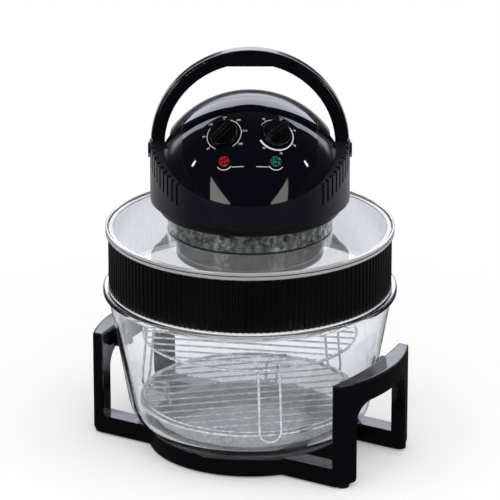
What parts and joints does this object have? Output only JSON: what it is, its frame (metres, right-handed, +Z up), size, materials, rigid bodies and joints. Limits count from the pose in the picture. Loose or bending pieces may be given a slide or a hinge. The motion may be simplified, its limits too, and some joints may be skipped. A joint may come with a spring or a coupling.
{
  "type": "halogen oven",
  "caption": "Halogen oven: a glass bowl in a handled base, racks and a basket inside, an extender ring, and a glass lid that carries the heater head with its folding handle.",
  "frame": {"origin": "on the floor, on the axis of the bowl and the head", "axes": "+Z up, -Y towards the control panel, +X to the right of someone who faces the controls"},
  "size_m": [0.3738, 0.346, 0.4865],
  "materials": {
    "base_black": "gloss",
    "foot_rubber": "matte",
    "screw_steel": "satin",
    "pad_silicone": "matte",
    "bowl_glass": "clear",
    "lid_glass": "clear",
    "mesh_steel": "satin",
    "wire_chrome": "polished",
    "liner_steel": "satin",
    "band_black": "satin",
    "rim_chrome": "polished",
    "edge_steel": "satin",
    "skirt_chrome": "polished",
    "pan_steel": "polished",
    "lamp_quartz": "clear",
    "holder_ceramic": "matte",
    "body_black": "satin",
    "collar_black": "gloss",
    "dome_black": "gloss",
    "fascia_black": "high gloss",
    "control_plastic": "matte",
    "plunger_plastic": "satin",
    "red_lens": "gloss",
    "green_lens": "gloss",
    "neon_glass": "clear",
    "bracket_steel": "satin",
    "coil_copper": "satin",
    "bearing_bronze": "satin",
    "fan_aluminium": "satin",
    "gland_rubber": "matte",
    "handle_black": "gloss",
    "knob_black": "satin"
  },
  "bodies": {
    "base": {"base_ring": "base_black", "right_handle_frame": "base_black", "left_handle_frame": "base_black", "base_feet": "foot_rubber", "base_screws": "screw_steel", "bowl_rest_pads": "pad_silicone", "bowl_side_pads": "pad_silicone"},
    "bowl": {"glass_bowl": "bowl_glass"},
    "basket": {"basket_mesh": "mesh_steel", "basket_rim": "wire_chrome"},
    "low_rack": {"low_rack_hoop": "wire_chrome", "low_rack_bars": "wire_chrome", "low_rack_legs": "wire_chrome"},
    "high_rack": {"high_rack_hoop": "wire_chrome", "high_rack_bars": "wire_chrome", "high_rack_legs": "wire_chrome"},
    "extender_ring": {"ring_liner": "liner_steel", "ring_band": "band_black", "ring_bottom_rim": "rim_chrome", "ring_top_rim": "rim_chrome"},
    "lid": {"lid_glass": "lid_glass", "lid_edge_band": "edge_steel", "glass_gasket_lower": "pad_silicone", "glass_gasket_upper": "pad_silicone", "chrome_skirt": "skirt_chrome", "heat_shield": "pan_steel", "lamp_pan": "pan_steel", "clamp_bolts": "screw_steel", "lamp_guard": "pan_steel", "halogen_lamp": "lamp_quartz", "lamp_holders": "holder_ceramic", "body_base_ring": "body_black", "head_screws": "screw_steel", "head_collar": "collar_black", "dome_cover": "dome_black", "control_fascia": "fascia_black", "thermostat": "control_plastic", "timer": "control_plastic", "power_lens": "red_lens", "heat_lens": "green_lens", "indicator_lamps": "neon_glass", "pivot_pins": "skirt_chrome", "safety_switch": "control_plastic", "motor_bracket": "bracket_steel", "motor_stator": "bracket_steel", "motor_coil": "coil_copper", "motor_bearings": "bearing_bronze", "cord_gland": "gland_rubber", "terminal_block": "holder_ceramic"},
    "fan": {"motor_shaft": "bracket_steel", "motor_rotor": "fan_aluminium", "convection_fan": "fan_aluminium", "cooling_fan": "fan_aluminium", "fan_nut": "screw_steel"},
    "handle": {"carry_handle": "handle_black"},
    "temperature_control": {"temperature_knob": "knob_black"},
    "timer_control": {"timer_knob": "knob_black"},
    "plunger": {"switch_plunger": "plunger_plastic"}
  },
  "joints": [
    {"name": "bowl_lift", "type": "slide", "parent": "base", "child": "bowl", "axis": [0, 0, 1], "range_m": [0, 0.14]},
    {"name": "basket_lift", "type": "slide", "parent": "bowl", "child": "basket", "axis": [0, 0, 1], "range_m": [0, 0.18]},
    {"name": "low_rack_lift", "type": "slide", "parent": "basket", "child": "low_rack", "axis": [0, 0, 1], "range_m": [0, 0.17]},
    {"name": "high_rack_lift", "type": "slide", "parent": "low_rack", "child": "high_rack", "axis": [0, 0, 1], "range_m": [0, 0.16]},
    {"name": "extender_ring_lift", "type": "slide", "parent": "high_rack", "child": "extender_ring", "axis": [0, 0, 1], "range_m": [0, 0.11]},
    {"name": "lid_lift", "type": "slide", "parent": "extender_ring", "child": "lid", "axis": [0, 0, 1], "range_m": [0, 0.15]},
    {"name": "handle_fold", "type": "hinge", "parent": "lid", "child": "handle", "pos_m": [0, 0, 0.3645], "axis": [-1, 0, 0], "range_deg": [0, 90]},
    {"name": "temperature_turn", "type": "hinge", "parent": "lid", "child": "temperature_control", "pos_m": [0, 0, 0.3155], "axis": [0.2586, 0.5813, -0.7715], "range_deg": [0, 270]},
    {"name": "timer_turn", "type": "hinge", "parent": "lid", "child": "timer_control", "pos_m": [0, 0, 0.3155], "axis": [-0.2586, 0.5813, -0.7715], "range_deg": [0, 330]},
    {"name": "fan_spin", "type": "hinge", "parent": "lid", "child": "fan", "pos_m": [0, 0, 0.29], "axis": [0, 0, 1], "continuous": true},
    {"name": "plunger_travel", "type": "slide", "parent": "lid", "child": "plunger", "axis": [0, 0, -1], "range_m": [0, 0.0026]}
  ],
  "couplings": [
    {"joint": "plunger_travel", "follows": "handle_fold", "m_per_rad": 0.0015915}
  ]
}
